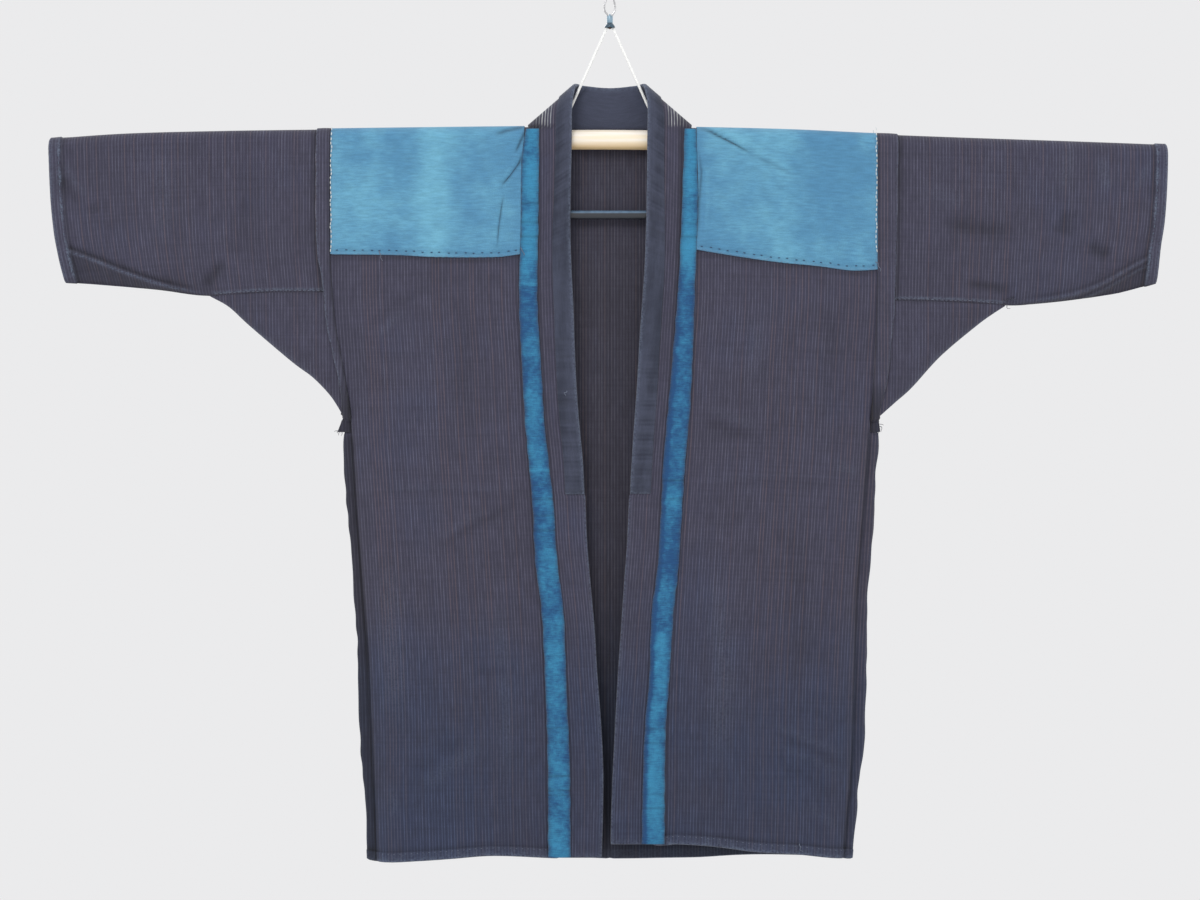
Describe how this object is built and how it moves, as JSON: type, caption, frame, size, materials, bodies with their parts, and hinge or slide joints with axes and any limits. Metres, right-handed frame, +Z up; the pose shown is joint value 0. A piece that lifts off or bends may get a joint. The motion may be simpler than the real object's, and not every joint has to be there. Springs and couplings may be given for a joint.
{
  "type": "hanten jacket on a hanging rod",
  "caption": "Straight open-front cotton work jacket with gusseted tube sleeves and a long collar band, shown inside out and flat on a wooden rod that hangs by cords from a wire eye.",
  "frame": {"origin": "inside top of the wire eye, where a nail or hook holds it", "axes": "+Z up, front of the jacket toward -Y, +X toward the wearer's left, along the sleeves"},
  "size_m": [1.2468, 0.0362, 0.971],
  "materials": {
    "striped_cotton": "matt hand-woven cotton, fine vertical stripes",
    "plain_cotton": "matt plain dark navy cotton, faded at the fold",
    "light_indigo": "matt faded light indigo cotton",
    "deep_indigo": "matt mottled mid indigo cotton",
    "pale_wood": "smooth pale wood",
    "dark_bar": "glossy slate",
    "white_cord": "white twisted cord",
    "bright_wire": "bright",
    "grey_blue_metal": "satin grey blue",
    "teal_plastic": "dark teal, semi-gloss",
    "brown_bead": "matt brown"
  },
  "bodies": {
    "root": {"front_left": "striped_cotton", "back_left": "striped_cotton", "sleeve_left": "striped_cotton", "gusset_left": "striped_cotton", "armhole_allowance_left": "striped_cotton", "patch_left": "light_indigo", "strip_left": "deep_indigo", "cord_left": "white_cord", "cord_drop_left": "white_cord", "front_right": "striped_cotton", "back_right": "striped_cotton", "sleeve_right": "striped_cotton", "gusset_right": "striped_cotton", "armhole_allowance_right": "striped_cotton", "patch_right": "light_indigo", "strip_right": "deep_indigo", "cord_right": "white_cord", "cord_drop_right": "white_cord", "collar": "striped_cotton", "collar_cover": "plain_cotton", "rod": "pale_wood", "lower_bar": "dark_bar", "hanging_eye": "bright_wire", "ferrule": "grey_blue_metal", "bell": "teal_plastic", "bead": "brown_bead"}
  },
  "joints": []
}
